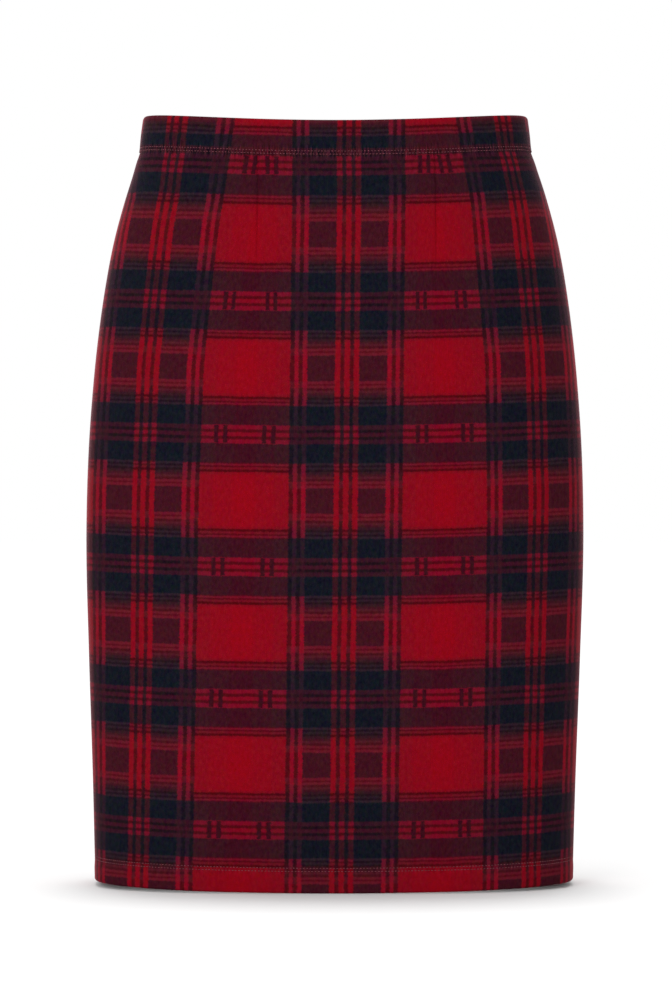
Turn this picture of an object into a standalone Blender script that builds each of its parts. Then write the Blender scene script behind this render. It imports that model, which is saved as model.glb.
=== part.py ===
"""A straight knee-length skirt in brushed double-knit jersey, hollow and filled out as when worn.

Frame: metres, +Z up. The origin is on the axis of the figure, at the mid-height of the waist casing.
The front of the skirt faces -Y, and +X is on the right when the front is looked at.
A level is a distance down from the waist edge at the side seams. A distance round a level is measured
along the outside of the cloth from the centre front, and grows toward +X.
"""

import math

import bmesh
import bpy
import numpy as np

MM = 0.001

# ---------------------------------------------------------------- driving dimensions

SKIRT_LENGTH = 562.6 * MM       # waist edge to hem edge, down the side seam
CLOTH = 1.5 * MM                # one layer of the jersey
SEAM_GAP = 0.3 * MM             # between two pieces at a seam

CASING_DEPTH = 26.0 * MM        # waist edge to the lower row of casing stitches
CASING_WALL = 4.2 * MM          # two layers of jersey with a flat elastic between them
ORIGIN_BELOW_EDGE = 13.0 * MM   # half the casing's depth

HEM_DEPTH = 20.0 * MM           # height of the turned-up hem
HEM_WALL = 3.0 * MM             # two layers of jersey

# The cloth's rows dip toward the centre front and back: most at the waist edge, least at the hem
FRONT_DIP = (6.0 * MM, 2.2 * MM)    # the part that fades down the skirt, and the part that stays
BACK_DIP = (2.0 * MM, 1.5 * MM)
DIP_FADE = 300.0 * MM               # level by which the first part has faded to 37 %

TURN = 8.0 * MM                 # the skirt sits turned this far round the figure, toward +X

FRONT_DART_OUT = 65.0 * MM      # from the panel's centre line to a dart
FRONT_DART_TIP = 136.0 * MM     # level at which a front dart runs out
BACK_DART_OUT = 76.0 * MM
BACK_DART_TIP = 156.0 * MM
DART_SINK = 0.8 * MM            # depth of the valley along a sewn dart
DART_HALF_WIDTH = 5.0 * MM

# The body of the skirt, one row for each level at which its outline was measured.
# All in mm: level, half of the side-to-side width, depth from the side seams to the centre front and
# to the centre back, and the roundness exponent of the section (2 is an ellipse, more is squarer).
SECTION_COLUMNS = ("level", "half_width", "front_depth", "back_depth", "roundness")
SECTION_ROWS = (
    (0.0, 142.2, 81.8, 97.0, 2.30),
    (13.0, 143.6, 82.7, 98.2, 2.31),
    (26.0, 145.4, 83.5, 99.6, 2.33),
    (37.7, 148.6, 84.7, 102.0, 2.36),
    (60.0, 155.6, 87.3, 107.0, 2.42),
    (89.6, 163.5, 90.3, 114.5, 2.50),
    (119.2, 169.2, 93.1, 121.0, 2.58),
    (163.6, 175.4, 96.2, 127.5, 2.66),
    (208.0, 179.6, 98.3, 130.5, 2.72),
    (252.4, 182.3, 99.4, 130.0, 2.75),
    (311.6, 183.5, 99.7, 127.0, 2.76),
    (400.4, 181.2, 98.7, 121.5, 2.74),
    (489.2, 178.2, 97.1, 117.0, 2.70),
    (562.6, 176.3, 96.1, 115.0, 2.68),
)

# Levels of the rows of faces down a panel, in mm, from under the casing to above the hem turn-up
PANEL_LEVELS = (33, 41, 52, 66, 82, 100, 120, 142, 168, 200, 240, 285, 335, 385, 430, 470, 505, 530)

INNER_STATIONS = 6              # columns of faces from a panel's centre line to beside its dart
OUTER_STATIONS = 13             # and from beside the dart to the side seam
FOLD_STEPS = 4                  # steps round the rounded fold of the waist edge and the hem edge
CURVE_STEPS = 720               # directions in which a section's curve is worked out

BRUSHED_RED = (0.265, 0.010, 0.022)
CASING_RED = (0.215, 0.010, 0.020)


# ---------------------------------------------------------------- the form of the body

def column(name):
    """One column of the section table, in metres unless it is the exponent."""
    place = SECTION_COLUMNS.index(name)
    scale = 1.0 if name == "roundness" else MM
    return np.array([row[place] for row in SECTION_ROWS]) * scale


def at_level(name, level):
    """Smooth value of a table column at a level: a cubic between rows with limited slopes."""
    x = column("level")
    y = column(name)
    level = min(max(level, x[0]), x[-1])
    step = np.diff(x)
    rise = np.diff(y) / step
    slope = np.concatenate(([rise[0]], (rise[:-1] + rise[1:]) / 2, [rise[-1]]))
    for k in range(1, len(x) - 1):
        if rise[k - 1] * rise[k] <= 0:
            slope[k] = 0.0
    k = min(int(np.searchsorted(x, level, side="right")) - 1, len(step) - 1)
    t = (level - x[k]) / step[k]
    start = (1 + 2 * t) * (1 - t) ** 2 * y[k] + t * (1 - t) ** 2 * step[k] * slope[k]
    end = t * t * (3 - 2 * t) * y[k + 1] + t * t * (t - 1) * step[k] * slope[k + 1]
    return start + end


class Section:
    """The outside of the skirt at one level, as a closed curve measured by distance round it."""

    def __init__(self, level):
        self.level = level
        self.half_width = at_level("half_width", level)
        front_depth = at_level("front_depth", level)
        back_depth = at_level("back_depth", level)
        power = at_level("roundness", level)
        turn = np.linspace(-math.pi, math.pi, CURVE_STEPS + 1)
        depth = np.where(np.abs(turn) <= math.pi / 2, front_depth, back_depth)
        across = np.abs(np.sin(turn) / self.half_width) ** power
        along = np.abs(np.cos(turn) / depth) ** power
        reach = (across + along) ** (-1.0 / power)
        self.x = reach * np.sin(turn)
        self.y = -reach * np.cos(turn)
        pieces = np.hypot(np.diff(self.x), np.diff(self.y))
        length = np.concatenate(([0.0], np.cumsum(pieces)))
        quarter = CURVE_STEPS // 4
        self.around = length - length[2 * quarter]
        self.girth = length[-1]
        self.front_half = length[3 * quarter] - length[2 * quarter]
        self.back_half = self.girth / 2 - self.front_half

    def spot(self, around):
        """Place on the curve and outward normal, at a distance round from the centre front."""
        around = (around + self.girth / 2) % self.girth - self.girth / 2
        reach = 0.5 * MM
        x, y = self.place(around)
        ahead = self.place(around + reach)
        behind = self.place(around - reach)
        tangent = (ahead[0] - behind[0], ahead[1] - behind[1])
        size = math.hypot(*tangent)
        return x, y, tangent[1] / size, -tangent[0] / size

    def place(self, around):
        x = float(np.interp(around, self.around, self.x, period=self.girth))
        y = float(np.interp(around, self.around, self.y, period=self.girth))
        return x, y

    def dip(self, x, y):
        """How far the cloth's rows hang below their level at a place on the curve."""
        fading, staying = FRONT_DIP if y <= 0 else BACK_DIP
        depth = staying + fading * math.exp(-self.level / DIP_FADE)
        return depth * max(0.0, 1 - (x / self.half_width) ** 2)


# ---------------------------------------------------------------- panels and casings

class Panel:
    """The front or the back: where its centre line and its darts lie, at any level."""

    def __init__(self, name, dart_out, dart_tip):
        self.is_back = name == "back"
        self.dart_out = dart_out
        self.dart_tip = dart_tip

    def centre(self, section):
        return TURN + (section.girth / 2 if self.is_back else 0.0)

    def half(self, section):
        whole = section.back_half if self.is_back else section.front_half
        return whole - SEAM_GAP / 2

    def stations(self, section):
        """Distances of the columns of faces from the centre line, from one side seam to the other."""
        middle = np.linspace(0.0, self.dart_out - DART_HALF_WIDTH, INNER_STATIONS)
        valley = self.dart_out + np.array([-0.4, 0.0, 0.4]) * DART_HALF_WIDTH
        side = np.linspace(self.dart_out + DART_HALF_WIDTH, self.half(section), OUTER_STATIONS)
        right = np.concatenate((middle, valley, side))
        return np.concatenate((-right[:0:-1], right))

    def dart_sink(self, off_centre, level):
        """Depth of the dart's valley at a distance from the centre line."""
        near = 1 - abs(abs(off_centre) - self.dart_out) / DART_HALF_WIDTH
        share = 1 - (level - CASING_DEPTH) / (self.dart_tip - CASING_DEPTH)
        if near <= 0 or share <= 0:
            return 0.0
        return DART_SINK * near * math.sqrt(min(1.0, share))


def cloth_point(section, around, inset):
    """A point in the cloth, a distance round the section and a depth in from the outside."""
    x, y, normal_x, normal_y = section.spot(around)
    z = ORIGIN_BELOW_EDGE - section.level - section.dip(x, y)
    return (x - normal_x * inset, y - normal_y * inset, z)


def add_wall(name, panel, rows, colour, has_darts):
    """A closed wall from rows of (level, outer inset, inner inset), swept from side seam to side seam."""
    mesh = bmesh.new()
    outer = []
    inner = []
    for level, outer_inset, inner_inset in rows:
        section = Section(level)
        centre = panel.centre(section)
        outer_row = []
        inner_row = []
        for off in panel.stations(section):
            sink = panel.dart_sink(off, level) if has_darts else 0.0
            outer_row.append(mesh.verts.new(cloth_point(section, centre + off, outer_inset + sink)))
            inner_row.append(mesh.verts.new(cloth_point(section, centre + off, inner_inset + sink)))
        outer.append(outer_row)
        inner.append(inner_row)
    last_row = len(rows) - 1
    last_station = len(outer[0]) - 1
    for r in range(last_row):
        for c in range(last_station):
            mesh.faces.new((outer[r][c], outer[r][c + 1], outer[r + 1][c + 1], outer[r + 1][c]))
            mesh.faces.new((inner[r][c], inner[r + 1][c], inner[r + 1][c + 1], inner[r][c + 1]))
        for c in (0, last_station):
            mesh.faces.new((outer[r][c], outer[r + 1][c], inner[r + 1][c], inner[r][c]))
    for r in (0, last_row):
        for c in range(last_station):
            mesh.faces.new((outer[r][c], outer[r][c + 1], inner[r][c + 1], inner[r][c]))
    bmesh.ops.recalc_face_normals(mesh, faces=mesh.faces)
    return add_object(name, mesh, colour)


def fold_rows(edge_level, wall, rises):
    """Rows round a folded edge, from full thickness to its rounded tip.

    rises is -1 where the fold points up to the waist edge and +1 where it points down to the hem.
    """
    radius = wall / 2
    rows = []
    for step in range(FOLD_STEPS + 1):
        angle = math.radians(78.0) * step / FOLD_STEPS
        level = edge_level - rises * radius * (1 - math.sin(angle))
        half = radius * math.cos(angle)
        rows.append((level, radius - half, radius + half))
    return rows


def casing_rows():
    """From the folded waist edge down to the casing's lower edge."""
    rows = fold_rows(0.0, CASING_WALL, -1)[::-1]
    for share in (0.25, 0.45, 0.65, 0.85, 1.0):
        rows.append((CASING_DEPTH * share, 0.0, CASING_WALL))
    return rows


def panel_rows():
    """From under the casing down to the folded hem, doubled in thickness along the turn-up."""
    top_of_hem = SKIRT_LENGTH - HEM_DEPTH
    rows = [(CASING_DEPTH + SEAM_GAP, 0.0, CLOTH)]
    rows += [(level * MM, 0.0, CLOTH) for level in PANEL_LEVELS]
    rows.append((top_of_hem, 0.0, CLOTH))
    rows.append((top_of_hem + 0.4 * MM, 0.0, HEM_WALL))
    rows.append((top_of_hem + HEM_DEPTH / 2, 0.0, HEM_WALL))
    return rows + fold_rows(SKIRT_LENGTH, HEM_WALL, 1)


# ---------------------------------------------------------------- objects and their materials

def add_material(name, colour):
    """Brushed jersey: matt, with no metal in it."""
    material = bpy.data.materials.new(name)
    material.use_nodes = True
    shader = material.node_tree.nodes["Principled BSDF"]
    shader.inputs["Base Color"].default_value = (*colour, 1.0)
    shader.inputs["Roughness"].default_value = 0.92
    shader.inputs["Metallic"].default_value = 0.0
    return material


def add_object(name, mesh, colour):
    data = bpy.data.meshes.new(name)
    mesh.to_mesh(data)
    mesh.free()
    data.materials.append(add_material(name + "_jersey", colour))
    data.shade_smooth()
    data.set_sharp_from_angle(angle=math.radians(35.0))
    piece = bpy.data.objects.new(name, data)
    bpy.context.scene.collection.objects.link(piece)
    return piece


def clear_scene():
    for old in list(bpy.data.objects):
        bpy.data.objects.remove(old, do_unlink=True)


def main():
    clear_scene()
    front = Panel("front", FRONT_DART_OUT, FRONT_DART_TIP)
    back = Panel("back", BACK_DART_OUT, BACK_DART_TIP)
    add_wall("front_panel", front, panel_rows(), BRUSHED_RED, has_darts=True)
    add_wall("back_panel", back, panel_rows(), BRUSHED_RED, has_darts=True)
    add_wall("front_waistband", front, casing_rows(), CASING_RED, has_darts=False)
    add_wall("back_waistband", back, casing_rows(), CASING_RED, has_darts=False)


main()
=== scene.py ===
# %% [markdown]
# # A straight skirt in brushed tartan jersey
#
# The real skirt is cut from one cloth: a double-knit jersey, printed with a red, navy and black tartan
# and brushed until it has a short nap. Two panels, front and back, are shaped over the hips by four darts
# and two side seams. At the top the cloth turns in over a flat elastic, and at the bottom it turns up
# into a hem. Both turns are held by two rows of twin-needle stitches.
#
# This lesson works as a pattern cutter does. Each piece starts as a flat grid, the cut, keeps its place
# on the printed cloth as a UV map in millimetres, and is then wrapped round the form of the hips.

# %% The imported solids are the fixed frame
import math
import random

import bpy
import numpy as np
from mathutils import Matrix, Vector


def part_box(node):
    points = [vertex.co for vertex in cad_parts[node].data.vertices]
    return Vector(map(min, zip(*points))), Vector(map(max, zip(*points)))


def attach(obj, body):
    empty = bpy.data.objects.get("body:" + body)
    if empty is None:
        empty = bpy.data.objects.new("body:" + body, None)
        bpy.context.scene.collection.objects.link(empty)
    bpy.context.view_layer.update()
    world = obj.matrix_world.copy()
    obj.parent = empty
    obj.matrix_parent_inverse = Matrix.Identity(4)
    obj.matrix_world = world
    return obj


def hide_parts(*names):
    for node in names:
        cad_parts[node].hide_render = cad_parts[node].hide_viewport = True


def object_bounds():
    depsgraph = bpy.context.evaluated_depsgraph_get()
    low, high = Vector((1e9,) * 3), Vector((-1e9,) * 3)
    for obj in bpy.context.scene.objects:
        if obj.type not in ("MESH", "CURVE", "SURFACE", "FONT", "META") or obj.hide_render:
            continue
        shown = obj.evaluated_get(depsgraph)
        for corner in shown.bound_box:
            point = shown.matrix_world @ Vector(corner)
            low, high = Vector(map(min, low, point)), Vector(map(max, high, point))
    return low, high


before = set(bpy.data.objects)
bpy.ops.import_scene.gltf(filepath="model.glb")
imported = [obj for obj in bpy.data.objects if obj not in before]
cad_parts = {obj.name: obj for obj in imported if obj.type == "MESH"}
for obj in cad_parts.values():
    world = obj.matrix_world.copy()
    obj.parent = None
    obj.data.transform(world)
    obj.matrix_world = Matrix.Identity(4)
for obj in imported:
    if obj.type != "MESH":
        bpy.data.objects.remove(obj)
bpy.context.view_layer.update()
MM = 0.001
for node in sorted(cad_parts):
    low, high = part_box(node)
    print(node, [round(v / MM) for v in low], [round(v / MM) for v in high])

# %% [markdown]
# ## The form under the cloth
#
# The skirt is filled out as when it is worn, so every level of it is a rounded section: wider than deep,
# flatter in front and fuller behind. The table below is the same one that the solids were made from.
# A level is a distance down from the waist edge at the side seams, and a place round the skirt is a
# distance from the centre front, measured along the cloth. A formula keeps the cloth smooth from any
# side, where a sculpted mesh would show every slip of the hand.

# %% The section table and one level of it
SECTION_COLUMNS = ("level", "half_width", "front_depth", "back_depth", "roundness")
SECTION_ROWS = (
    (0.0, 142.2, 81.8, 97.0, 2.30),
    (13.0, 143.6, 82.7, 98.2, 2.31),
    (26.0, 145.4, 83.5, 99.6, 2.33),
    (37.7, 148.6, 84.7, 102.0, 2.36),
    (60.0, 155.6, 87.3, 107.0, 2.42),
    (89.6, 163.5, 90.3, 114.5, 2.50),
    (119.2, 169.2, 93.1, 121.0, 2.58),
    (163.6, 175.4, 96.2, 127.5, 2.66),
    (208.0, 179.6, 98.3, 130.5, 2.72),
    (252.4, 182.3, 99.4, 130.0, 2.75),
    (311.6, 183.5, 99.7, 127.0, 2.76),
    (400.4, 181.2, 98.7, 121.5, 2.74),
    (489.2, 178.2, 97.1, 117.0, 2.70),
    (562.6, 176.3, 96.1, 115.0, 2.68),
)
SKIRT_LENGTH = 562.6  # waist edge to hem edge, down the side seam, in mm
EDGE_ABOVE_ORIGIN = 13.0  # the waist edge lies this far above the origin
CASING_EDGE = 26.0  # level where the casing ends and the panel begins
# Rows dip toward the middle of each panel: by a part that fades down the skirt, and by one that stays
FRONT_DIP = (6.0, 2.2)
BACK_DIP = (2.0, 1.5)
DIP_FADE = 300.0
ASKEW = 0.003  # the skirt hangs this much out of plumb, its waist toward +X
CASING_SHIFT = 0.6  # the casing sits this far back toward -X
SHIFT_FADES = (20.0, 50.0)  # and the cloth below joins it between these levels
CURVE_STEPS = 1440  # points round a section
TANGENT_REACH = 1.0  # mm to both sides of a place, which give the cloth's direction


def table_at(name, level):
    """Smooth value of a table column at a level: a cubic between rows with limited slopes."""
    place = SECTION_COLUMNS.index(name)
    x = np.array([row[0] for row in SECTION_ROWS])
    y = np.array([row[place] for row in SECTION_ROWS])
    level = min(max(level, x[0]), x[-1])
    step = np.diff(x)
    rise = np.diff(y) / step
    slope = np.concatenate(([rise[0]], (rise[:-1] + rise[1:]) / 2, [rise[-1]]))
    for k in range(1, len(x) - 1):
        if rise[k - 1] * rise[k] <= 0:
            slope[k] = 0.0
    k = min(int(np.searchsorted(x, level, side="right")) - 1, len(step) - 1)
    t = (level - x[k]) / step[k]
    start = (1 + 2 * t) * (1 - t) ** 2 * y[k] + t * (1 - t) ** 2 * step[k] * slope[k]
    end = t * t * (3 - 2 * t) * y[k + 1] + t * t * (t - 1) * step[k] * slope[k + 1]
    return start + end


class Section:
    """The outside of the skirt at one level, in mm, measured by distance round from the centre front."""

    def __init__(self, level):
        self.level = level
        self.half_width = table_at("half_width", level)
        power = table_at("roundness", level)
        turn = np.linspace(-math.pi, math.pi, CURVE_STEPS + 1)
        front = np.abs(turn) <= math.pi / 2
        depth = np.where(front, table_at("front_depth", level), table_at("back_depth", level))
        across = np.abs(np.sin(turn) / self.half_width) ** power
        along = np.abs(np.cos(turn) / depth) ** power
        reach = (across + along) ** (-1.0 / power)
        self.x = reach * np.sin(turn)
        self.y = -reach * np.cos(turn)
        length = np.concatenate(([0.0], np.cumsum(np.hypot(np.diff(self.x), np.diff(self.y)))))
        quarter = CURVE_STEPS // 4
        self.around = length - length[2 * quarter]
        self.girth = length[-1]
        self.front_half = length[3 * quarter] - length[2 * quarter]
        self.back_half = self.girth / 2 - self.front_half

    def place(self, around):
        x = np.interp(around, self.around, self.x, period=self.girth)
        y = np.interp(around, self.around, self.y, period=self.girth)
        return x, y

    def point(self, around, inset):
        """Points in metres at distances round the section, each an inset in from the outside."""
        x, y = self.place(around)
        ahead = self.place(around + TANGENT_REACH)
        behind = self.place(around - TANGENT_REACH)
        run = (ahead[0] - behind[0], ahead[1] - behind[1])
        size = np.hypot(*run)
        fading = np.where(y <= 0, FRONT_DIP[0], BACK_DIP[0])
        staying = np.where(y <= 0, FRONT_DIP[1], BACK_DIP[1])
        toward_middle = np.maximum(0, 1 - (x / self.half_width) ** 2)
        dip = (staying + fading * math.exp(-self.level / DIP_FADE)) * toward_middle
        z = EDGE_ABOVE_ORIGIN - self.level - dip
        start, end = SHIFT_FADES
        shifted = min(1.0, max(0.0, (end - self.level) / (end - start)))
        sideways = ASKEW * (SKIRT_LENGTH / 2 - self.level) - CASING_SHIFT * shifted
        x = x - run[1] / size * inset + sideways
        return np.stack((x, y + run[0] / size * inset, z), axis=-1) * MM


for level in (0, 300, SKIRT_LENGTH):
    section = Section(level)
    print("level", level, "girth", round(section.girth), "front half", round(section.front_half, 1))

# %% [markdown]
# ## Where the print lies on the skirt
#
# A tartan shows every stretch of its cloth, so the print's own place has to be known all over a panel.
# Down the skirt the rows follow the levels, drawn out a little under the elastic. Round the skirt the
# print is true in the middle, gives a little over the hips, and steps where a dart has taken cloth in:
# 21 mm below the casing, running out to nothing. The darts are the reason why a checked skirt looks sewn.

# %% Print place by level and by distance from a panel's centre line
TURN = 8.0  # the solids' centre line lies this far round from the middle, toward +X
# The print's place down the cloth at these levels: its rows lie every 47.5 mm
PRINT_LEVELS = (0.0, 32.8, 83.8, 132.9, 181.4, 229.7, 277.6, 325.3, 373.0, 420.7, 468.4, 516.1, 535.0, 562.6)
PRINT_DOWN = (-31.8, -1.1, 46.7, 94.0, 141.4, 188.9, 236.3, 283.6, 331.0, 378.6, 426.2, 474.0, 493.5, 520.3)
PRINT_SKEW = 0.003  # its rows drop by this share of the way across a panel
PRINT_LEAN = (2.0, 0.0086)  # its centre line lies this far out at the waist, less this share of the level
# What each dart takes in at these levels
DART_LEVELS = (0.0, 26.0, 59.0, 84.0, 112.0, 126.0)
DART_INTAKE = (23.5, 21.0, 13.5, 8.5, 2.6, 0.0)

# How far from the print's centre line its stripes lie: the far pair and the triple, left and right
STRIPE_PLACES = (112.0, 148.3)
STRIPE_COLUMNS = ("level", "left_pair", "left_triple", "right_pair", "right_triple")
FRONT_STRIPES = (
    (2.5, 88.3, 130.9, 83.5, 119.4),
    (59.0, 96.0, 135.4, 93.3, 129.1),
    (84.0, 99.5, 139.2, 95.8, 131.9),
    (181.0, 108.0, 146.9, 104.8, 141.3),
    (278.0, 110.7, 149.0, 106.9, 144.1),
    (373.0, 111.0, 149.1, 107.1, 143.1),
    (468.0, 111.5, 150.4, 106.9, 142.4),
    (563.0, 112.2, 151.6, 107.2, 142.0),
)
BACK_STRIPES = (
    (2.5, 87.0, 126.0, 87.0, 126.0),
    (84.0, 98.0, 136.0, 98.0, 136.0),
    (181.0, 107.0, 144.5, 107.0, 144.5),
    (278.0, 110.5, 147.5, 110.5, 147.5),
    (563.0, 112.0, 148.3, 112.0, 148.3),
)
# The dashes between the dart and the pair lag behind the pair by these, at three levels, in mm
DASH_LEVELS = (34.0, 133.0, 325.0)
DASH_LAG = {"left": (-1.2, 1.2, 0.3), "right": (1.0, 1.1, 1.4)}
DASH_TO_PAIR = 19.0
TRUE_WITHIN = {"left": 50.0, "right": 41.0}  # the print is true this far out from its centre line
# How far the cloth gives past the triple, in mm: (distance, left at the waist, left, right)
SIDE_GIVE = (
    (0.0, 0.0, 0.0, 0.0),
    (10.0, 0.5, 0.5, 0.3),
    (20.0, 4.0, 2.0, 0.9),
    (34.0, 11.0, 5.9, 3.2),
    (42.0, 15.0, 8.5, 5.7),
    (48.0, 17.5, 10.8, 7.6),
    (54.0, 20.0, 13.4, 11.0),
    (64.0, 24.0, 19.0, 17.0),
    (80.0, 28.0, 24.0, 22.0),
    (100.0, 30.0, 27.0, 25.0),
)
WAIST_GIVES_TO = (24.0, 60.0)  # the waist's own give fades out between these levels
PANELS_TOUCH = 0.06  # each panel reaches this far past the seam's line, so that no light shows


class Panel:
    """The front or the back: its centre line, its darts and the print on it."""

    def __init__(self, name, dart_out, stripes):
        self.name = name
        self.is_back = name == "back"
        self.dart_out = dart_out
        self.stripes = np.array(stripes)

    def lean(self, level):
        """The print's centre line leans a little to one side down the skirt."""
        return 0.0 if self.is_back else PRINT_LEAN[0] - PRINT_LEAN[1] * level

    def centre(self, section):
        return TURN + (section.girth / 2 if self.is_back else 0.0)

    def half(self, section):
        """From the centre line to a side seam, where the two panels just touch."""
        return (section.back_half if self.is_back else section.front_half) + PANELS_TOUCH

    def stripe(self, name, level):
        return np.interp(level, self.stripes[:, 0], self.stripes[:, STRIPE_COLUMNS.index(name)])

    def print_across(self, level, off, past_dart):
        """Place across the print, in mm, at offsets from the centre line.

        past_dart tells for each offset whether it belongs to the cloth outside its dart.
        """
        off = off - self.lean(level)
        intake = np.interp(level, DART_LEVELS, DART_INTAKE)
        place = np.abs(off)
        for side, sign in (("left", -1), ("right", 1)):
            pair = self.stripe(side + "_pair", level)
            triple = self.stripe(side + "_triple", level)
            # the print runs ahead of its place on the form by these leads
            lead = (STRIPE_PLACES[0] - pair, STRIPE_PLACES[1] - triple)
            out = np.abs(off)
            lag = np.interp(level, DASH_LEVELS, DASH_LAG[side])
            knots = (TRUE_WITHIN[side], pair - DASH_TO_PAIR, pair, triple)
            leads = (intake, lead[0] - lag, lead[0], lead[1])
            ahead = np.interp(out, knots, leads) - intake
            ahead = ahead + np.where(past_dart, intake, 0.0)
            # past the triple the cloth gives most, and the print opens out toward the side seam
            given = np.array(SIDE_GIVE)
            give = np.interp(out - triple, given[:, 0], given[:, 2 if side == "left" else 3])
            if side == "left":
                at_waist = np.interp(out - triple, given[:, 0], given[:, 1])
                give = give + (at_waist - give) * np.interp(level, WAIST_GIVES_TO, (1.0, 0.0))
            ahead = ahead - give
            place = np.where(off * sign > 0, out + ahead, place)
        return np.sign(off) * place


def print_down(level):
    return float(np.interp(level, PRINT_LEVELS, PRINT_DOWN))


FRONT_DART_OUT = 65.0  # the darts lie this far out from the centre line
BACK_DART_OUT = 76.0
front = Panel("front", FRONT_DART_OUT, FRONT_STRIPES)
back = Panel("back", BACK_DART_OUT, BACK_STRIPES)
left_triple = front.print_across(278.0, np.array([-150.0]), np.array([True]))
print("print near the left triple at the hips:", round(float(left_triple[0]), 1))

# %% [markdown]
# ## From the flat cut to the worn panel
#
# One function cuts every piece. It adds a flat grid with a primitive operator, one column for each
# station round the panel and one row for each step down it, and gives every corner of every face its
# place on the print. A face corner knows which side of a dart it belongs to, so the tartan can break
# sharply along the sewn line though the mesh is closed there. Then the grid is wrapped: each row goes
# round its section, sunk or raised by the relief of seams, darts and stitching.

# %% Stations across a panel, and the soft relief of the cloth
DART_STEPS = (-6.0, -4.2, -2.8, -1.7, -0.8, 0.0, 0.8, 1.7, 2.8, 4.2, 6.0)
SEAM_STEPS = (7.0, 4.5, 2.6, 1.3, 0.5, 0.0)
MIDDLE_COLUMNS = 35  # between the two darts
SIDE_COLUMNS = 42  # between a dart and its side seam
# The seams and darts lie in valleys, as (depth, width) of the sewn line and of the soft dip beside it
SEAM_VALLEY = ((0.75, 1.6), (0.25, 5.0))
DART_VALLEY = ((1.15, 0.85), (0.35, 6.0))
DART_END = 128.0  # level where the dart's valley has run out
DART_FADE = 60.0  # mm over which it runs out
DART_FADE_POWER = 0.6
POINT_RISE = 0.35  # the cloth stands out past the dart's point
POINT_LEVEL = 142.0
POINT_REACH = (26.0, 17.0)  # down and across
# Long soft flutes of the jersey, uneven: (place, width, height) in mm
FLUTES = (
    (-128, 26, 0.9), (-74, 20, -0.6), (-22, 30, 0.5), (41, 24, -0.7), (96, 22, 0.8), (149, 26, -0.6),
)
FLUTES_FROM = 150.0  # they start at this level and grow to the hem
FLUTES_GROW = 400.0
FLUTE_SWAY = 10.0  # and they sway this far to both sides
FLUTE_WAVE = 140.0
BACK_FLUTES_MOVED = 17


def stations(panel, section):
    """Offsets of the columns from the centre line, from one side seam to the other."""
    half = panel.half(section)
    near = panel.dart_out + DART_STEPS[0]
    middle = np.linspace(-near, near, MIDDLE_COLUMNS + 2)[1:-1]
    dart = panel.dart_out + np.array(DART_STEPS)
    side = np.linspace(dart[-1], half - SEAM_STEPS[0], SIDE_COLUMNS + 2)[1:-1]
    outer = np.concatenate((dart, side, half - np.array(SEAM_STEPS)))
    return np.concatenate((-outer[::-1], middle, outer))


def dart_columns(panel):
    """Column numbers of the two sewn dart lines."""
    places = stations(panel, Section(DART_LEVELS[-1]))
    return [int(np.argmin(np.abs(places - line))) for line in (-panel.dart_out, panel.dart_out)]


def bump(distance, width):
    return np.exp(-(distance / width) ** 2)


def relief(panel, section, off):
    """How far the cloth stands out (+) or sinks (-) at a level, in mm."""
    level = section.level
    out = np.zeros_like(off)
    side = panel.half(section) - np.abs(off)
    for depth, width in SEAM_VALLEY:
        out -= depth * bump(side, width)
    if level > CASING_EDGE:
        dart = np.abs(off) - panel.dart_out
        strength = np.clip((DART_END - level) / DART_FADE, 0, 1) ** DART_FADE_POWER
        for depth, width in DART_VALLEY:
            out -= strength * depth * bump(dart, width)
        out += POINT_RISE * bump(level - POINT_LEVEL, POINT_REACH[0]) * bump(dart, POINT_REACH[1])
    grown = np.clip((level - FLUTES_FROM) / FLUTES_GROW, 0, 1)
    for place, width, height in FLUTES:
        sway = FLUTE_SWAY * math.sin(level / FLUTE_WAVE + place)
        turned = BACK_FLUTES_MOVED - place if panel.is_back else place
        out += height * grown * bump(off - turned - sway, width)
    return out


print("columns across a panel:", len(stations(front, Section(CASING_EDGE))))

# %% Cutting and wrapping one piece
CLOTH = 1.4  # thickness of the brushed jersey
ON_THE_LINE = 0.4  # a column this near to a dart's line belongs to the cloth on both sides
SHARP_FROM = 50  # degrees between faces, above which an edge stays sharp


def deselect_all():
    bpy.ops.object.select_all(action="DESELECT")


def add_flat_grid(name, columns, rows):
    """A flat grid of columns by rows of points, the cut before it is wrapped."""
    deselect_all()
    bpy.ops.mesh.primitive_grid_add(x_subdivisions=columns - 1, y_subdivisions=rows - 1, size=1.0)
    cut = bpy.context.object
    cut.name = name
    cut.data.name = name
    points = np.empty(len(cut.data.vertices) * 3)
    cut.data.vertices.foreach_get("co", points)
    points = points.reshape(-1, 3)
    column = np.rint((points[:, 0] + 0.5) * (columns - 1)).astype(int)
    row = np.rint((0.5 - points[:, 1]) * (rows - 1)).astype(int)
    return cut, column, row


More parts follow.
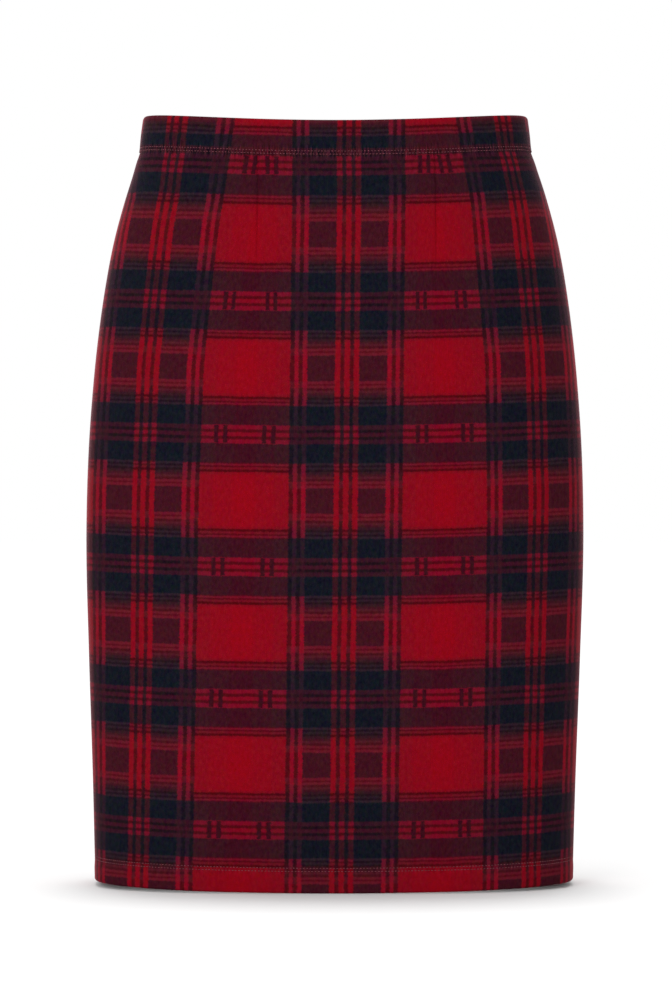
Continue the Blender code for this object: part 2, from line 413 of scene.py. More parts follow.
def wrap(cut, column, row, panel, path, print_places):
    """Wraps a flat grid on the form and gives its corners their place on the print.

    path has (level, inset, share of the relief) for each row, and print_places its place down the print.
    """
    columns = column.max() + 1
    shaped = np.zeros((len(path), columns, 3))
    across = np.zeros((2, len(path), columns))
    down = np.zeros((len(path), columns))
    for r, (level, inset, relief_share) in enumerate(path):
        section = Section(level)
        off = stations(panel, section)
        stand = relief(panel, section, off) * relief_share
        shaped[r] = section.point(panel.centre(section) + off, inset - stand)
        inside = np.abs(off) < panel.dart_out - ON_THE_LINE
        outside = np.abs(off) > panel.dart_out + ON_THE_LINE
        for past in (0, 1):
            past_dart = np.where(inside, False, np.where(outside, True, bool(past)))
            across[past, r] = panel.print_across(min(level, SKIRT_LENGTH), off, past_dart)
        down[r] = print_places[r] + PRINT_SKEW * off
    cut.data.vertices.foreach_set("co", shaped[row, column].ravel())

    # a corner on a dart's line takes the print of the side that its own face lies on
    left_dart, right_dart = dart_columns(panel)
    places = cut.data.uv_layers.active
    places.name = "print_mm"
    corner = np.empty(len(cut.data.loops), dtype=int)
    cut.data.loops.foreach_get("vertex_index", corner)
    start = np.empty(len(cut.data.polygons), dtype=int)
    cut.data.polygons.foreach_get("loop_start", start)
    total = np.empty(len(cut.data.polygons), dtype=int)
    cut.data.polygons.foreach_get("loop_total", total)
    owner = np.repeat(np.arange(len(start)), total)
    corner_column = column[corner]
    face_low = np.minimum.reduceat(corner_column, start)[owner]
    past = (corner_column == left_dart) & (face_low < left_dart)
    past |= (corner_column == right_dart) & (face_low >= right_dart)
    u = across[past.astype(int), row[corner], corner_column]
    v = down[row[corner], corner_column]
    places.data.foreach_set("uv", np.stack((u, v), axis=-1).ravel())
    cut.data.update()


def finish_cloth(piece):
    """Gives the sheet its thickness inwards, with the cloth's plain reverse on the inside."""
    deselect_all()
    piece.select_set(True)
    bpy.context.view_layer.objects.active = piece
    solid = piece.modifiers.new("thickness", "SOLIDIFY")
    solid.thickness = CLOTH * MM
    solid.offset = -1.0
    solid.material_offset = 1
    solid.use_rim = True
    bpy.ops.object.modifier_apply(modifier=solid.name)
    bpy.ops.object.shade_smooth_by_angle(angle=math.radians(SHARP_FROM))
    print(piece.name, len(piece.data.polygons), "faces")


# %% [markdown]
# ## Nodes, colours and the printed jersey
#
# The print is charted from its real sett. Warp-wise it repeats every 148 mm and weft-wise every 95 mm,
# mirrored about its middle, so a ping-pong of the UV place gives a distance from the nearest line of
# symmetry. One colour ramp reads the warp's stripes into three masks, and four ramps give the weft's
# colours under each kind of stripe. That is how such a check is drafted on paper, and it stays sharp at
# any size, which a picture would not.

# %% Helpers for colours and nodes
def linear(code):
    """An sRGB hex colour as the linear colour that a shader needs."""
    values = []
    for place in (0, 2, 4):
        part = int(code[place:place + 2], 16) / 255
        values.append(part / 12.92 if part <= 0.04045 else ((part + 0.055) / 1.055) ** 2.4)
    return (*values, 1.0)


def feed(tree, node, inputs):
    """Sets or links a node's inputs by name or number, where a node stands for its first output."""
    for name, value in inputs.items():
        if isinstance(value, bpy.types.Node):
            value = value.outputs[0]
        if isinstance(value, bpy.types.NodeSocket):
            tree.links.new(value, node.inputs[name])
        else:
            node.inputs[name].default_value = value


def add_node(tree, kind, inputs, **settings):
    """Adds a shader node with its settings and its inputs."""
    node = tree.nodes.new("ShaderNode" + kind)
    for name, value in settings.items():
        setattr(node, name, value)
    feed(tree, node, inputs)
    return node


def add_finish(name):
    """A new material with its node tree and its shader."""
    material = bpy.data.materials.new(name)
    material.use_nodes = True
    return material, material.node_tree, material.node_tree.nodes["Principled BSDF"]


EDGE_BLUR = 0.5  # the print's edges are this soft, half their width in mm
NARROW_BLUR = 0.45  # and in a narrow stripe, this share of the stripe


def fill_ramp(node, stops, half_repeat):
    """Fills a ramp with (end in mm, colour) runs over half a repeat, and gives its colour."""
    ramp = node.color_ramp
    ramp.interpolation = "LINEAR"
    places = []
    begin = 0.0
    for end, colour in stops:
        soft = min(EDGE_BLUR, NARROW_BLUR * (end - begin))
        places.append((begin + (soft if begin else 0.0), colour))
        places.append((end - soft if end < half_repeat else half_repeat, colour))
        begin = end
    while len(ramp.elements) > 1:
        ramp.elements.remove(ramp.elements[-1])
    ramp.elements[0].position = 0.0
    ramp.elements[0].color = places[0][1]
    for place, colour in places[1:]:
        element = ramp.elements.new(min(1.0, max(0.0, place / half_repeat)))
        element.color = colour
    return node.outputs["Color"]


# %% The sett
WARP_HALF = 74.16  # half the repeat across, in mm
WEFT_HALF = 47.52  # half the repeat down
NOTHING, BLOCK, PAIR, LINE = (0, 0, 0, 1), (1, 0, 0, 1), (0, 1, 0, 1), (0, 0, 1, 1)
WARP_STRIPES = (
    (1.95, BLOCK), (4.85, LINE), (8.65, BLOCK), (28.8, NOTHING), (31.95, PAIR), (34.9, LINE),
    (37.85, PAIR), (41.0, LINE), (WARP_HALF, BLOCK),
)
LIGHT_LEVEL = 0.61  # share of the photo's colour that the dye has, because the studio is bright


def dye(code):
    """The dye that gives a colour of the photo under this studio's light."""
    shade = linear(code)
    return (shade[0] * LIGHT_LEVEL, shade[1] * LIGHT_LEVEL, shade[2] * LIGHT_LEVEL, 1.0)


# The weft's colours down the cloth under each kind of warp stripe, as (end in mm, dye)
NAVY_WEFT = (
    (1.4, dye("3c1221")), (3.6, dye("1f1017")), (6.6, dye("341421")), (20.3, dye("12151f")),
    (21.9, dye("2c1d27")), (23.4, dye("20111b")), (24.9, dye("2c1b24")), (26.6, dye("241219")),
    (28.4, dye("33171f")), (30.0, dye("3f141e")), (31.6, dye("4d1923")), (33.4, dye("450f18")),
    (35.2, dye("621824")), (36.4, dye("520b17")), (38.4, dye("631624")), (WEFT_HALF, dye("3e111c")),
)
BLOCK_WEFT = (
    (1.4, dye("730f22")), (3.6, dye("4b0d15")), (6.6, dye("6f1125")), (20.3, dye("37151e")),
    (21.0, dye("460f1a")), (22.5, dye("681626")), (23.6, dye("4c0814")), (25.3, dye("661420")),
    (27.1, dye("4a0710")), (28.8, dye("780e1c")), (WEFT_HALF, dye("820a1a")),
)
PAIR_WEFT = (
    (1.4, dye("3c131f")), (3.6, dye("31131d")), (6.6, dye("3a1421")), (20.8, dye("281824")),
    (27.5, dye("661427")), (33.5, dye("701425")), (38.4, dye("801023")), (WEFT_HALF, dye("840c20")),
)
LINE_WEFT = (
    (1.4, dye("34161f")), (3.6, dye("28121a")), (6.6, dye("33151f")), (20.6, dye("18131b")),
    (24.0, dye("300c15")), (28.0, dye("380d16")), (33.4, dye("401118")), (38.4, dye("56141e")),
    (WEFT_HALF, dye("500b13")),
)
TRIPLE_END = 6.3  # the weft's triple line ends this far from its own middle
FULL = (1, 1, 1, 1)
DASHES = ((50.9, NOTHING), (54.4, FULL), (57.8, NOTHING), (61.1, FULL), (WARP_HALF, NOTHING))
DASH = dye("37101a")
print("sett", 2 * WARP_HALF, "mm across,", 2 * WEFT_HALF, "mm down")

# %% The check, as the knit carries it
# The lines waver with the knit, and brushed fibres roughen them: (noise scale, detail, reach in mm)
WAVERS = ((0.045, 2.0, (1.2, 1.2, 0.0)), (0.75, 2.0, (2.6, 1.7, 0.0)))
NOISE_MIDDLE = (0.5, 0.5, 0.5)
DEEP_RED = (1.22, 0.40, 0.76)  # what the well-dyed middle of a block does to its colour
DEEP_ACROSS = ((49.5, 53.0, 0.5), (63.5, 68.0, 0.5))  # its two steps: (start, end, share)
DEEP_DOWN = (33.0, 44.0, 0.75)  # down the cloth it grows between these places, from this share


def wavering(tree, place):
    """The place on the print, moved a little as the knit and its fibres move the lines."""
    lay = place
    for scale, detail, reach in WAVERS:
        noise = add_node(tree, "TexNoise", {"Vector": place, "Scale": scale, "Detail": detail})
        waver = noise.outputs["Color"]
        for operation, value in (("SUBTRACT", NOISE_MIDDLE), ("MULTIPLY", reach)):
            waver = add_node(tree, "VectorMath", {0: waver, 1: value}, operation=operation)
        lay = add_node(tree, "VectorMath", {0: lay, 1: waver}, operation="ADD")
    return add_node(tree, "SeparateXYZ", {0: lay})


def printed_check(tree, lay):
    """The colour of the print at a place on it."""
    across = add_node(tree, "Math", {0: lay.outputs["X"], 1: WARP_HALF}, operation="PINGPONG")
    down = add_node(tree, "Math", {0: lay.outputs["Y"], 1: WEFT_HALF}, operation="PINGPONG")
    warp = add_node(tree, "Math", {0: across, 1: WARP_HALF}, operation="DIVIDE")
    weft = add_node(tree, "Math", {0: down, 1: WEFT_HALF}, operation="DIVIDE")
    stripes = fill_ramp(add_node(tree, "ValToRGB", {0: warp}), WARP_STRIPES, WARP_HALF)
    masks = add_node(tree, "SeparateColor", {0: stripes})
    colour = fill_ramp(add_node(tree, "ValToRGB", {0: weft}), NAVY_WEFT, WEFT_HALF)
    for mask, table in ((2, LINE_WEFT), (1, PAIR_WEFT), (0, BLOCK_WEFT)):
        under = fill_ramp(add_node(tree, "ValToRGB", {0: weft}), table, WEFT_HALF)
        colour = add_node(
            tree, "Mix", {"Factor": masks.outputs[mask], 6: colour, 7: under}, data_type="RGBA"
        ).outputs[2]

    # short dark dashes cross the red block only in the weft's triple line
    dashes = fill_ramp(add_node(tree, "ValToRGB", {0: warp}), DASHES, WARP_HALF)
    triple = add_node(tree, "Math", {0: down, 1: TRIPLE_END}, operation="LESS_THAN")
    dashes = add_node(tree, "Math", {0: dashes, 1: triple}, operation="MULTIPLY")
    colour = add_node(tree, "Mix", {"Factor": dashes, 6: colour, 7: DASH}, data_type="RGBA").outputs[2]

    # the middle of each red block took the dye best, in two steps from its sides
    deep = 0.0
    for start, end, share in DEEP_ACROSS:
        step = add_node(
            tree, "MapRange", {0: across, 1: start, 2: end, 4: share}, interpolation_type="SMOOTHSTEP"
        )
        deep = add_node(tree, "Math", {0: step, 1: deep})
    start, end, share = DEEP_DOWN
    middle = add_node(
        tree, "MapRange", {0: down, 1: start, 2: end, 3: share, 4: 1.0}, interpolation_type="SMOOTHSTEP"
    )
    deep = add_node(tree, "Math", {0: deep, 1: middle}, operation="MULTIPLY")
    return add_node(
        tree, "Mix", {"Factor": deep, 6: colour, 7: (*DEEP_RED, 1.0)}, data_type="RGBA",
        blend_type="MULTIPLY", clamp_result=False,
    ).outputs[2]


# %% [markdown]
# ## What the needles and the brush do to it
#
# Twin needles gather the jersey into short upright puckers, with bars of their thread between the two
# rows. These are finer than the mesh, so they are drawn in the dye: the bars as thread colour, and the
# puckers' light and shade as painted shade. Wire brushes have raised a nap, and its tufts lean this way
# and that; the light and shade they catch is painted into the dye as flecks, together with their fibres'
# own paler and darker tone. The dark inks took unevenly too, and turn brown in one place and violet in
# another. A noise of the size of the tufts stands for both.

# %% Painted shade of the puckers, and bars of thread at the stitching
# The stitching's place down the print in mm, how hard it pulls, which sets how strong the puckers' painted
# shade is, and how much its thread covers
NEEDLE_ROWS = ((-9.5, 1.0, 0.19), (503.7, 0.3, 0.16))
NEEDLE_THREAD = dye("64161f")
BARS_FADE = (2.1, 3.1)  # the bars end this far from the middle of the two rows
BARS_UNEVEN = 3.0
PUCKER_SIZE = (0.75, 0.09, 1.0)  # noise scale: a pucker is about 1.3 mm wide and 11 mm long
PUCKER_REACH = 7.0  # mm from the stitching, where puckers have died out
# painted shade: how strongly a pucker's painted light and shade darken or lighten the dye
PAINTED_PUCKER_SHADE = 3.6  # how strongly a pucker darkens or lights the dye


def thread_bars_and_painted_puckers(tree, place, lay, colour):
    """The colour with the bars of thread that the stitching gives it, and the puckers' light and shade
    painted on.
    """
    pucker_shade_reach = 0.0
    covered = 0.0
    for row, pull, cover in NEEDLE_ROWS:
        away = add_node(tree, "Math", {0: lay.outputs["Y"], 1: row}, operation="SUBTRACT")
        away = add_node(tree, "Math", {0: away}, operation="ABSOLUTE")
        near = add_node(
            tree, "MapRange", {0: away, 1: 0.0, 2: PUCKER_REACH, 3: pull, 4: 0.0},
            interpolation_type="SMOOTHSTEP",
        )
        pucker_shade_reach = add_node(tree, "Math", {0: near, 1: pucker_shade_reach})
        between = add_node(
            tree, "MapRange", {0: away, 1: BARS_FADE[0], 2: BARS_FADE[1], 3: cover, 4: 0.0}
        )
        covered = add_node(tree, "Math", {0: between, 1: covered})
    upright = add_node(tree, "Mapping", {"Vector": place, "Scale": PUCKER_SIZE})
    noise = add_node(tree, "TexNoise", {"Vector": upright, "Scale": 1.0, "Detail": 1.0})
    ticks = add_node(tree, "Math", {0: noise, 1: NOISE_MIDDLE[0]}, operation="SUBTRACT")
    bars = add_node(tree, "Math", {0: ticks, 1: BARS_UNEVEN, 2: 1.0}, operation="MULTIPLY_ADD")
    bars = add_node(tree, "Math", {0: bars, 1: covered}, operation="MULTIPLY")
    colour = add_node(
        tree, "Mix", {"Factor": bars, 6: colour, 7: NEEDLE_THREAD}, data_type="RGBA"
    ).outputs[2]
    # the puckers' light and shade, painted into the dye as a darker and lighter colour
    ticks = add_node(tree, "Math", {0: ticks, 1: pucker_shade_reach}, operation="MULTIPLY")
    shade = add_node(tree, "Math", {0: ticks, 1: PAINTED_PUCKER_SHADE, 2: 1.0}, operation="MULTIPLY_ADD")
    return add_node(tree, "VectorMath", {0: colour, "Scale": shade}, operation="SCALE")


# %% The brushed nap
TUFT_STRETCH = (1.0, 0.6, 1.0)
TUFTS = {"Scale": 0.42, "Detail": 3.0, "Roughness": 0.7}  # one tuft about every 2.4 mm
SOFTENED = 0.55  # a gamma, so that the nap shows on dark dyes as well as on red ones
# partly the fibres' own tone, partly the tufts' light and shade painted into the dye
TUFT_TONE_AND_PAINTED_LIGHT = (0.26, 0.10, 0.10)  # how much a tuft's fibres lift or sink red, green and blue
UNEVEN_DYE = (0.0, 0.16, 0.14)  # and how much the uneven inks do
DYE_PATCHES = {"Scale": 0.5, "Detail": 2.0}
DARKEST = (0.001, 0.001, 0.001)
# The cloth's own wales lie about 1 mm apart. These lie 1.45 mm apart, so that they still show.
WALES = {"Scale": 0.216, "Distortion": 0.8, "Detail": 1.0}
WALE_HEIGHT = 0.35  # against the tufts
NAP_BUMP = {"Strength": 0.3, "Distance": 0.0006}


def napped(tree, place, colour):
    """The colour as the nap breaks it up, with the tufts' light and shade painted into it, and the nap's
    slope over the fine ribs of the knit.
    """
    stretched = add_node(tree, "Mapping", {"Vector": place, "Scale": TUFT_STRETCH})
    tufts = add_node(tree, "TexNoise", {"Vector": stretched, **TUFTS})
    tuft_tone_and_light = add_node(tree, "Math", {0: tufts, 1: NOISE_MIDDLE[0]}, operation="SUBTRACT")
    softened = add_node(tree, "Gamma", {0: colour, 1: SOFTENED})
    fleck_and_painted_light = add_node(tree, "VectorMath", {0: softened, 1: TUFT_TONE_AND_PAINTED_LIGHT}, operation="MULTIPLY")
    fleck_and_painted_light = add_node(tree, "VectorMath", {0: fleck_and_painted_light, "Scale": tuft_tone_and_light}, operation="SCALE")
    cast = add_node(tree, "TexNoise", {"Vector": stretched, **DYE_PATCHES}).outputs["Color"]
    for operation, value in (("SUBTRACT", NOISE_MIDDLE), ("MULTIPLY", UNEVEN_DYE), ("MULTIPLY", softened)):
        cast = add_node(tree, "VectorMath", {0: cast, 1: value}, operation=operation)
    for operation, value in (("ADD", fleck_and_painted_light), ("ADD", cast), ("MAXIMUM", DARKEST)):
        colour = add_node(tree, "VectorMath", {0: colour, 1: value}, operation=operation)
    wales = add_node(tree, "TexWave", {"Vector": place, **WALES}, wave_type="BANDS", bands_direction="X")
    wales = wales.outputs[1]
    height = add_node(tree, "Math", {0: wales, 1: WALE_HEIGHT, 2: tufts}, operation="MULTIPLY_ADD")
    return colour, add_node(tree, "Bump", {"Height": height, **NAP_BUMP})


# %% The two sides of the cloth
REVERSE_DYE = dye("5a3b40")  # undyed grey-brown loops
REVERSE_SHARE = 0.62  # they hide this much of the print, which shows through only faintly
# A brushed pile traps light: nearly no mirror reflection, and a pale haze only at grazing angles
HAZE = {"face": 0.21, "reverse": 0.10}
PILE = {
    "Roughness": 0.95, "Metallic": 0.0, "IOR": 1.5, "Specular IOR Level": 0.02,
    "Sheen Roughness": 0.25, "Sheen Tint": linear("ffb4be"),
}


def printed_jersey(name, side):
    """Brushed double-knit jersey, matt with a short nap: its printed face, or its duller reverse."""
    material, tree, shader = add_finish(name)
    place = add_node(tree, "UVMap", {}, uv_map="print_mm").outputs[0]
    lay = wavering(tree, place)
    colour = printed_check(tree, lay)
    colour = thread_bars_and_painted_puckers(tree, place, lay, colour)
    colour, slope = napped(tree, place, colour)
    if side == "reverse":
        colour = add_node(
            tree, "Mix", {"Factor": REVERSE_SHARE, 6: colour, 7: REVERSE_DYE}, data_type="RGBA"
        ).outputs[2]
    feed(tree, shader, {"Base Color": colour, "Normal": slope, "Sheen Weight": HAZE[side], **PILE})
    return material


face_side = printed_jersey("brushed_printed_jersey", "face")
plain_side = printed_jersey("jersey_reverse", "reverse")
print("the jersey has", len(face_side.node_tree.nodes), "nodes")

# %% [markdown]
# ## The front and back panels
#
# A panel runs from under the casing down to the hem, round its fold and 20 mm up the inside. The path
# lists its rows: close together at the stitching and the fold, further apart down the smooth length.
# The turned-up cloth is really there, so the hem has its thickness, and its inside shows the print.

# %% Path down a panel
HEM_STITCHES = (544.3, 546.6)  # levels of the two rows
ROW_WIDTH = 0.55  # a row of stitches lies in a groove this wide
# Under the casing the cloth sinks in a crease and a soft dip: (level, depth, width)
UNDER_CASING = ((CASING_EDGE, 0.5, 1.1), (CASING_EDGE + 2.0, 0.5, 3.2))
HEM_SUNK = 0.32  # depth of the hem's grooves
HEM_SUNK_INSIDE = 0.15
HEM_STANDS = 0.35  # the doubled cloth of the hem stands out this much
HEM_GROWS = (547.5, 553.0)  # over these levels
FOLD_RADIUS = 1.55
FOLD_DROP = 2.0  # the fold is rounder below than it is thick
ROUND_STEPS = 10  # steps round a fold
SMOOTH_STEP = 4.0  # mm between rows down the smooth length


def soft_step(value, start, end):
    t = min(1.0, max(0.0, (value - start) / (end - start)))
    return t * t * (3 - 2 * t)


def groove(level, rows, depth, width):
    return sum(depth * math.exp(-((level - row) / width) ** 2) for row in rows)


def panel_path():
    """Rows of (level, inset, relief share) and the print's place down the cloth, for each row."""
    levels = [26.0, 26.5, 27.2, 28.2, 29.6, 31.5, 34.0, 37.0]
    levels += list(np.arange(41.0, 536.0, SMOOTH_STEP))
    levels += [
        538.0, 541.0, 542.6, 543.4, 543.9, 544.3, 544.7, 545.1, 545.8, 546.2, 546.6, 547.0, 547.8,
        549.2, 551.0, 553.0, 555.5, 558.0, 559.6,
    ]
    path = []
    places = []
    for level in levels:
        inset = sum(groove(level, (row,), depth, width) for row, depth, width in UNDER_CASING)
        inset += groove(level, HEM_STITCHES, HEM_SUNK, ROW_WIDTH)
        inset -= HEM_STANDS * soft_step(level, *HEM_GROWS)
        path.append((level, inset, 1.0))
        places.append(print_down(level))

    # round the fold
    run = places[-1]
    centre = SKIRT_LENGTH - FOLD_DROP
    for step in range(ROUND_STEPS + 1):
        angle = math.pi * step / ROUND_STEPS
        inset = FOLD_RADIUS * (1 - math.cos(angle)) - HEM_STANDS * (1 - step / ROUND_STEPS)
        path.append((centre + FOLD_DROP * math.sin(angle), inset, 1.0))
        if step == 0:
            run += centre - levels[-1]
        else:
            run += (FOLD_RADIUS + FOLD_DROP) / 2 * math.pi / ROUND_STEPS
        places.append(run)

    # and up the inside
    for level in (
        559.0, 556.0, 552.0, 549.0, 547.4, 546.6, 546.0, 545.4, 544.9, 544.3, 543.7, 543.0, 542.0,
    ):
        inset = 2 * FOLD_RADIUS - groove(level, HEM_STITCHES, HEM_SUNK_INSIDE, ROW_WIDTH)
        run += path[-1][0] - level
        path.append((level, inset, 1.0))
        places.append(run)
    return path, places


def add_cloth(panel, kind, path, print_places):
    """Cuts one piece of a panel, wraps it and gives it the jersey's two sides."""
    columns = len(stations(panel, Section(CASING_EDGE)))
    cut, column, row = add_flat_grid(panel.name + kind, columns, len(path))
    wrap(cut, column, row, panel, path, print_places)
    cut.data.materials.append(face_side)
    cut.data.materials.append(plain_side)
    finish_cloth(cut)
    return cut


PANEL_PATH, PANEL_PLACES = panel_path()
front_cloth = add_cloth(front, "_panel_cloth", PANEL_PATH, PANEL_PLACES)
back_cloth = add_cloth(back, "_panel_cloth", PANEL_PATH, PANEL_PLACES)

# %% [markdown]
# ## The waist casing
#
# The casing is the same cloth turned in over a flat elastic. Its path starts in the groove under the
# lower row of stitches, climbs the outside, rounds the waist edge and goes down the inside, where its
# raw edge hangs just below the stitching. The elastic fills it, so it stands a little proud.

# %% Path round the casing
CASING_STITCHES = (22.9, 25.2)  # levels of the two rows
CASING_SUNK = 0.34  # depth of their grooves
INSIDE_ROWS = (0.3, 0.6)  # depth and width of their grooves on the inside
CASING_WALL = 4.2
CASING_SWELL = 0.28  # the elastic makes the casing stand out this much
SWELL_ENDS = 22.0  # down to this level
SWELL_HEIGHT = 20.0
EDGE_RISE = 0.3  # and it pushes the waist edge up a little
EDGE_SHIFT = 0.9  # mm of print between the last row of the outside and the fold
INSIDE_CLOSER = 0.9  # the inside comes this much closer where the stitching holds it
CLOSER_OVER = (18.5, 25.0)  # over these levels
INSIDE_RELIEF = 0.4  # share of the outside's relief that shows on the inside


def casing_path():
    """The same for the casing, up its outside, over the waist edge and down its inside."""
    radius = CASING_WALL / 2
    path = []
    places = []
    for level in (
        26.0, 25.6, 25.2, 24.8, 24.4, 24.0, 23.6, 23.2, 22.9, 22.5,
        22.0, 21.4, 20.4, 18.5, 16.0, 13.0, 10.0, 7.0, 4.6, 3.0,
    ):
        inset = groove(level, (CASING_EDGE,), *UNDER_CASING[0][1:])
        inset += groove(level, CASING_STITCHES, CASING_SUNK, ROW_WIDTH)
        swell = min(1.0, max(0.0, (SWELL_ENDS - level) / SWELL_HEIGHT))
        inset -= CASING_SWELL * math.sin(math.pi * swell)
        path.append((level, inset, 1.0))
        places.append(print_down(level))

    # round the waist edge
    run = places[-1]
    for step in range(ROUND_STEPS + 1):
        angle = math.pi * step / ROUND_STEPS
        level = radius - (radius + EDGE_RISE) * math.sin(angle)
        path.append((level, radius * (1 - math.cos(angle)), 1.0 - 0.5 * step / ROUND_STEPS))
        run -= EDGE_SHIFT if step == 0 else radius * math.pi / ROUND_STEPS
        places.append(run)

    # and down the inside
    for level in (
        4.0, 8.0, 13.0, 18.0, 20.5, 21.6, 22.3, 22.9, 23.5, 24.1, 24.6, 25.2, 25.8, 26.6, 27.8, 29.2,
    ):
        inset = CASING_WALL - groove(level, CASING_STITCHES, *INSIDE_ROWS)
        inset -= INSIDE_CLOSER * soft_step(level, *CLOSER_OVER)
        run -= level - path[-1][0]
        path.append((level, inset, INSIDE_RELIEF))
        places.append(run)
    # cut from the inner edge outward, so that both kinds of piece have rows that run down the outside
    return path[::-1], places[::-1]


CASING_PATH, CASING_PLACES = casing_path()
front_casing = add_cloth(front, "_casing_cloth", CASING_PATH, CASING_PLACES)
back_casing = add_cloth(back, "_casing_cloth", CASING_PATH, CASING_PLACES)

# %% [markdown]
# ## Twin-needle stitching
#
# The rows are made of short raised stitches with a hole between each two. One stitch is modelled once:
# a thin six-sided thread that dips into the cloth at both ends. It is then copied along each row, turned
# to follow the cloth. Real thread is 0.3 mm thick, and this one is 0.4 mm so that it still shows.

# %% One stitch
STITCH_PITCH = 2.4
STITCH_LENGTH = 1.5
THREAD = 0.40  # its thickness
THREAD_NARROWS = 0.45  # toward its ends a stitch narrows by this share
THREAD_STANDS = 0.45  # its middle stands out by this share of its thickness
THREAD_DIPS = 0.85  # and its ends dip by this share below the middle


def model_stitch():
    deselect_all()
    bpy.ops.mesh.primitive_cylinder_add(
        vertices=6, radius=THREAD / 2 * MM, depth=STITCH_LENGTH * MM, end_fill_type="NGON"
    )
    stitch = bpy.context.object
    bpy.ops.object.mode_set(mode="EDIT")
    bpy.ops.mesh.select_mode(type="EDGE")
    bpy.ops.mesh.select_all(action="DESELECT")
    bpy.ops.object.mode_set(mode="OBJECT")
    for edge in stitch.data.edges:
        ends = [stitch.data.vertices[k].co.z for k in edge.vertices]
        edge.select = abs(ends[0] - ends[1]) > 0.5 * STITCH_LENGTH * MM
    bpy.ops.object.mode_set(mode="EDIT")
    bpy.ops.mesh.subdivide(number_cuts=4)
    bpy.ops.object.mode_set(mode="OBJECT")
    points = np.empty(len(stitch.data.vertices) * 3)
    stitch.data.vertices.foreach_get("co", points)
    points = points.reshape(-1, 3)
    along = points[:, 2] / (STITCH_LENGTH * MM / 2)
    taper = 1 - THREAD_NARROWS * np.abs(along) ** 3
    bow = THREAD * MM * (THREAD_STANDS - THREAD_DIPS * along ** 4)
    shaped = np.stack((points[:, 2], points[:, 0] * taper, points[:, 1] * taper + bow), axis=-1)
    stitch.data.vertices.foreach_set("co", shaped.ravel())
    stitch.data.update()
    return stitch


one_stitch = model_stitch()
STITCH_POINTS = np.array([v.co[:] for v in one_stitch.data.vertices])
STITCH_FACES = [tuple(p.vertices) for p in one_stitch.data.polygons]
bpy.data.objects.remove(one_stitch, do_unlink=True)
print("one stitch has", len(STITCH_FACES), "faces")

# %% Rows of stitches
TWIST_SCALE = 900.0  # noise scale to the metre: the twist's light and dark are about 1 mm apart
# painted light and shade: the dark and the light tone of the twist
TWIST_PAINTED_LIGHT = ((0.35, "441822"), (0.65, "72303d"))
UNEVEN = 0.12  # a stitch strays this far along its row in mm, and slants by this share
DIRECTION_REACH = 0.6  # mm to both sides of a stitch, which give the row's direction
SEAM_SHARED = 0.2  # mm past a side seam, where a stitch still lies on the panel


def sewing_thread():
    """Spun polyester thread: a dusty maroon, dull, with the light and shade of a slight twist painted into
    its colour.
    """
    material, tree, shader = add_finish("spun_polyester_thread")
    place = add_node(tree, "TexCoord", {}).outputs["Object"]
    noise = add_node(tree, "TexNoise", {"Vector": place, "Scale": TWIST_SCALE, "Detail": 1.0})
    ramp = add_node(tree, "ValToRGB", {0: noise})
    for element, (position, code) in zip(ramp.color_ramp.elements, TWIST_PAINTED_LIGHT):
        element.position = position
        element.color = linear(code)
    feed(tree, shader, {"Base Color": ramp, "Roughness": 0.8, "Sheen Weight": 0.05})
    return material


def cloth_stand(section, around):
    """How far the cloth stands out at places round a section, whichever panel they are on."""
    stand = np.zeros_like(around)
    for panel in (front, back):
        off = (around - panel.centre(section) + section.girth / 2) % section.girth - section.girth / 2
        mine = np.abs(off) <= panel.half(section) + SEAM_SHARED
        stand[mine] = relief(panel, section, off)[mine]
    return stand


def add_stitching(name, levels, sunk, seed):
    """Rows of stitches all round the skirt at the given levels, sunk into their groove."""
    chance = random.Random(seed)
    points = []
    faces = []
    for number, level in enumerate(levels):
        section = Section(level)
        count = int(section.girth / STITCH_PITCH)
        around = (np.arange(count) + 0.5 * number) * section.girth / count
        around = around + np.array([chance.uniform(-UNEVEN, UNEVEN) for _ in range(count)])
        inset = sunk - cloth_stand(section, around)
        middle = section.point(around, inset)
        ahead = section.point(around + DIRECTION_REACH, inset)
        behind = section.point(around - DIRECTION_REACH, inset)
        run = ahead - behind
        run /= np.linalg.norm(run, axis=1)[:, None]
        outward = section.point(around, inset - 1.0) - middle
        outward /= np.linalg.norm(outward, axis=1)[:, None]
        upward = np.cross(outward, run)
        for k in range(count):
            slant = chance.uniform(-UNEVEN, UNEVEN)
            turned = np.stack((run[k] + upward[k] * slant, upward[k] - run[k] * slant, outward[k]))
            start = len(points) * len(STITCH_POINTS)
            points.append(STITCH_POINTS @ turned + middle[k])
            faces.extend(tuple(start + v for v in face) for face in STITCH_FACES)
    mesh = bpy.data.meshes.new(name)
    mesh.from_pydata(np.concatenate(points).tolist(), [], faces)
    mesh.update()
    piece = bpy.data.objects.new(name, mesh)
    bpy.context.scene.collection.objects.link(piece)
    mesh.shade_smooth()
    mesh.materials.append(thread_finish)
    print(name, len(points), "stitches,", len(faces), "faces")
    return piece


thread_finish = sewing_thread()
casing_stitching = add_stitching("casing_stitching", CASING_STITCHES, CASING_SUNK, seed=3)
hem_stitching = add_stitching("hem_stitching", HEM_STITCHES, HEM_SUNK, seed=5)

# %% [markdown]
# ## What rides, and what it replaces
#
# The skirt is one body. Every cloth piece stands for the solid of the same name, which is hidden.

# %% Bodies, and the solids that the cloth replaces
for piece, node, slot in (
    (front_cloth, "front_panel", "jersey"),
    (back_cloth, "back_panel", "jersey"),
    (front_casing, "front_waistband", "casing_jersey"),
    (back_casing, "back_waistband", "casing_jersey"),
):
    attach(piece, "root")
    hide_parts(node)
    print(piece.name, "stands for", node)
for piece, slot in ((casing_stitching, "casing_jersey"), (hem_stitching, "jersey")):
    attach(piece, "root")

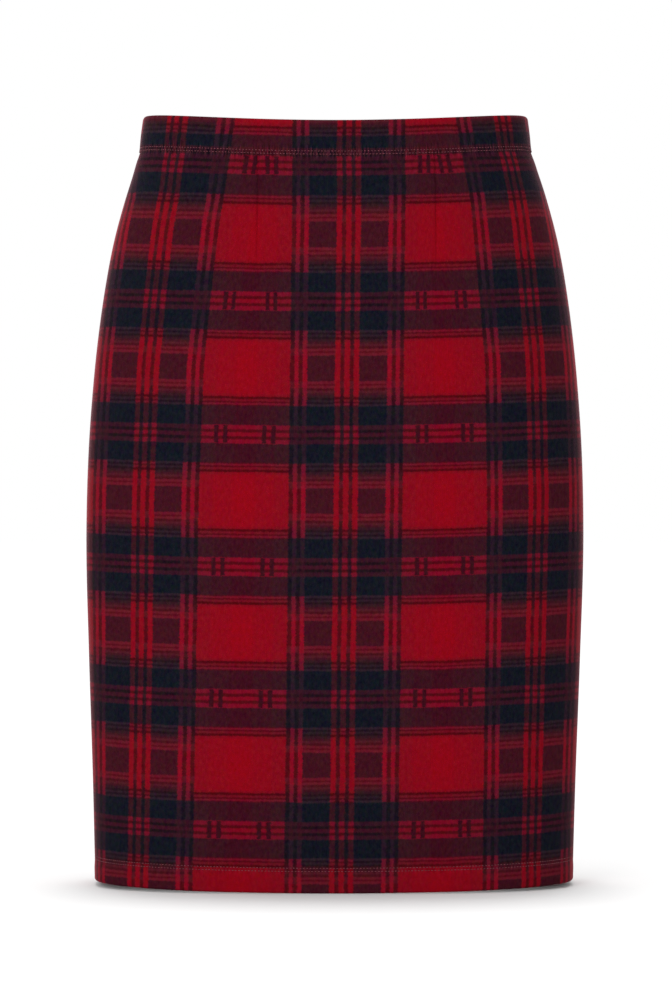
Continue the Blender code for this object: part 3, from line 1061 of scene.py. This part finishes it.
# %% [markdown]
# ## Floor, light and camera
#
# The skirt stands on a plain pale floor under a white sky, as in a bright studio tent. A soft sun from
# just behind the top makes the short shadow at the hem, and a large lamp in front, a little to the left,
# keeps the colours clear. Two small lamps to the left and right, a little behind the waist and above it,
# graze the nap at both outlines, where it shows as a pale haze. The camera is level with the middle of
# the skirt, 3.4 m away with a long lens, so both edges of the waist and the hem curve as they do in the
# photograph.

# %% Floor
FLOOR_GREY = 0.70
FLOOR_SIZE = 60.0
FLOOR_BELOW = 0.4  # mm under the hem, so that cloth and floor do not touch
low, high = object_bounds()
deselect_all()
bpy.ops.mesh.primitive_plane_add(size=FLOOR_SIZE, location=(0, 0, low[2] - FLOOR_BELOW * MM))
floor = bpy.context.object
floor.name = "studio_floor"
bpy.ops.object.transform_apply(location=True)
paper, tree, shader = add_finish("matt_white_paper")
grey = (FLOOR_GREY, FLOOR_GREY, FLOOR_GREY, 1.0)
feed(tree, shader, {"Base Color": grey, "Roughness": 1.0, "Specular IOR Level": 0.0})
floor.data.materials.append(paper)
print("floor at", round(low[2] / MM, 1), "mm")

# %% Light
world = bpy.data.worlds.new("studio_white")
world.use_nodes = True
sky = world.node_tree.nodes["Background"]
sky.inputs["Color"].default_value = (1.0, 1.0, 1.0, 1.0)
sky.inputs["Strength"].default_value = 1.0
bpy.context.scene.world = world


def add_lamp(name, kind, energy, location, rotation, **settings):
    lamp = bpy.data.lights.new(name, kind)
    lamp.energy = energy
    for setting, value in settings.items():
        setattr(lamp, setting, value)
    holder = bpy.data.objects.new(name, lamp)
    holder.location = location
    holder.rotation_euler = [math.radians(degrees) for degrees in rotation]
    bpy.context.scene.collection.objects.link(holder)
    print(name, round(energy, 2))


add_lamp("top_sun", "SUN", 1.7, (0, 0.3, 3), (-13, 0, 0), angle=math.radians(18))
add_lamp("front_softbox", "AREA", 50.0, (-0.9, -2.7, 0.0), (86, 0, -18), shape="SQUARE", size=1.0)
for side, energy in ((-1, 0.55), (1, 0.30)):
    place = (0.45 * side, 0.12, 0.10)
    toward_waist = (90, 0, 111 * side)
    add_lamp("rim_lamp", "AREA", energy, place, toward_waist, shape="SQUARE", size=0.15)
bpy.context.scene.view_settings.view_transform = "Standard"
bpy.context.scene.view_settings.look = "None"

# %% Camera
CAMERA_AWAY = 3.4  # m
CAMERA_LEVEL = -0.2725  # m, the middle of the skirt
CAMERA_ASIDE = 0.00074  # m, one pixel
MM_PER_PIXEL = 0.74
PHOTO_HEIGHT = 1008
SENSOR = 36.0
camera_data = bpy.data.cameras.new("photo_camera")
camera_data.sensor_width = SENSOR
camera_data.lens = CAMERA_AWAY / (MM_PER_PIXEL * MM) * SENSOR / PHOTO_HEIGHT
camera = bpy.data.objects.new("photo_camera", camera_data)
camera.location = (CAMERA_ASIDE, -CAMERA_AWAY, CAMERA_LEVEL)
camera.rotation_euler = (math.radians(90), 0, 0)
bpy.context.scene.collection.objects.link(camera)
bpy.context.scene.camera = camera
print("lens", round(camera_data.lens, 1), "mm")
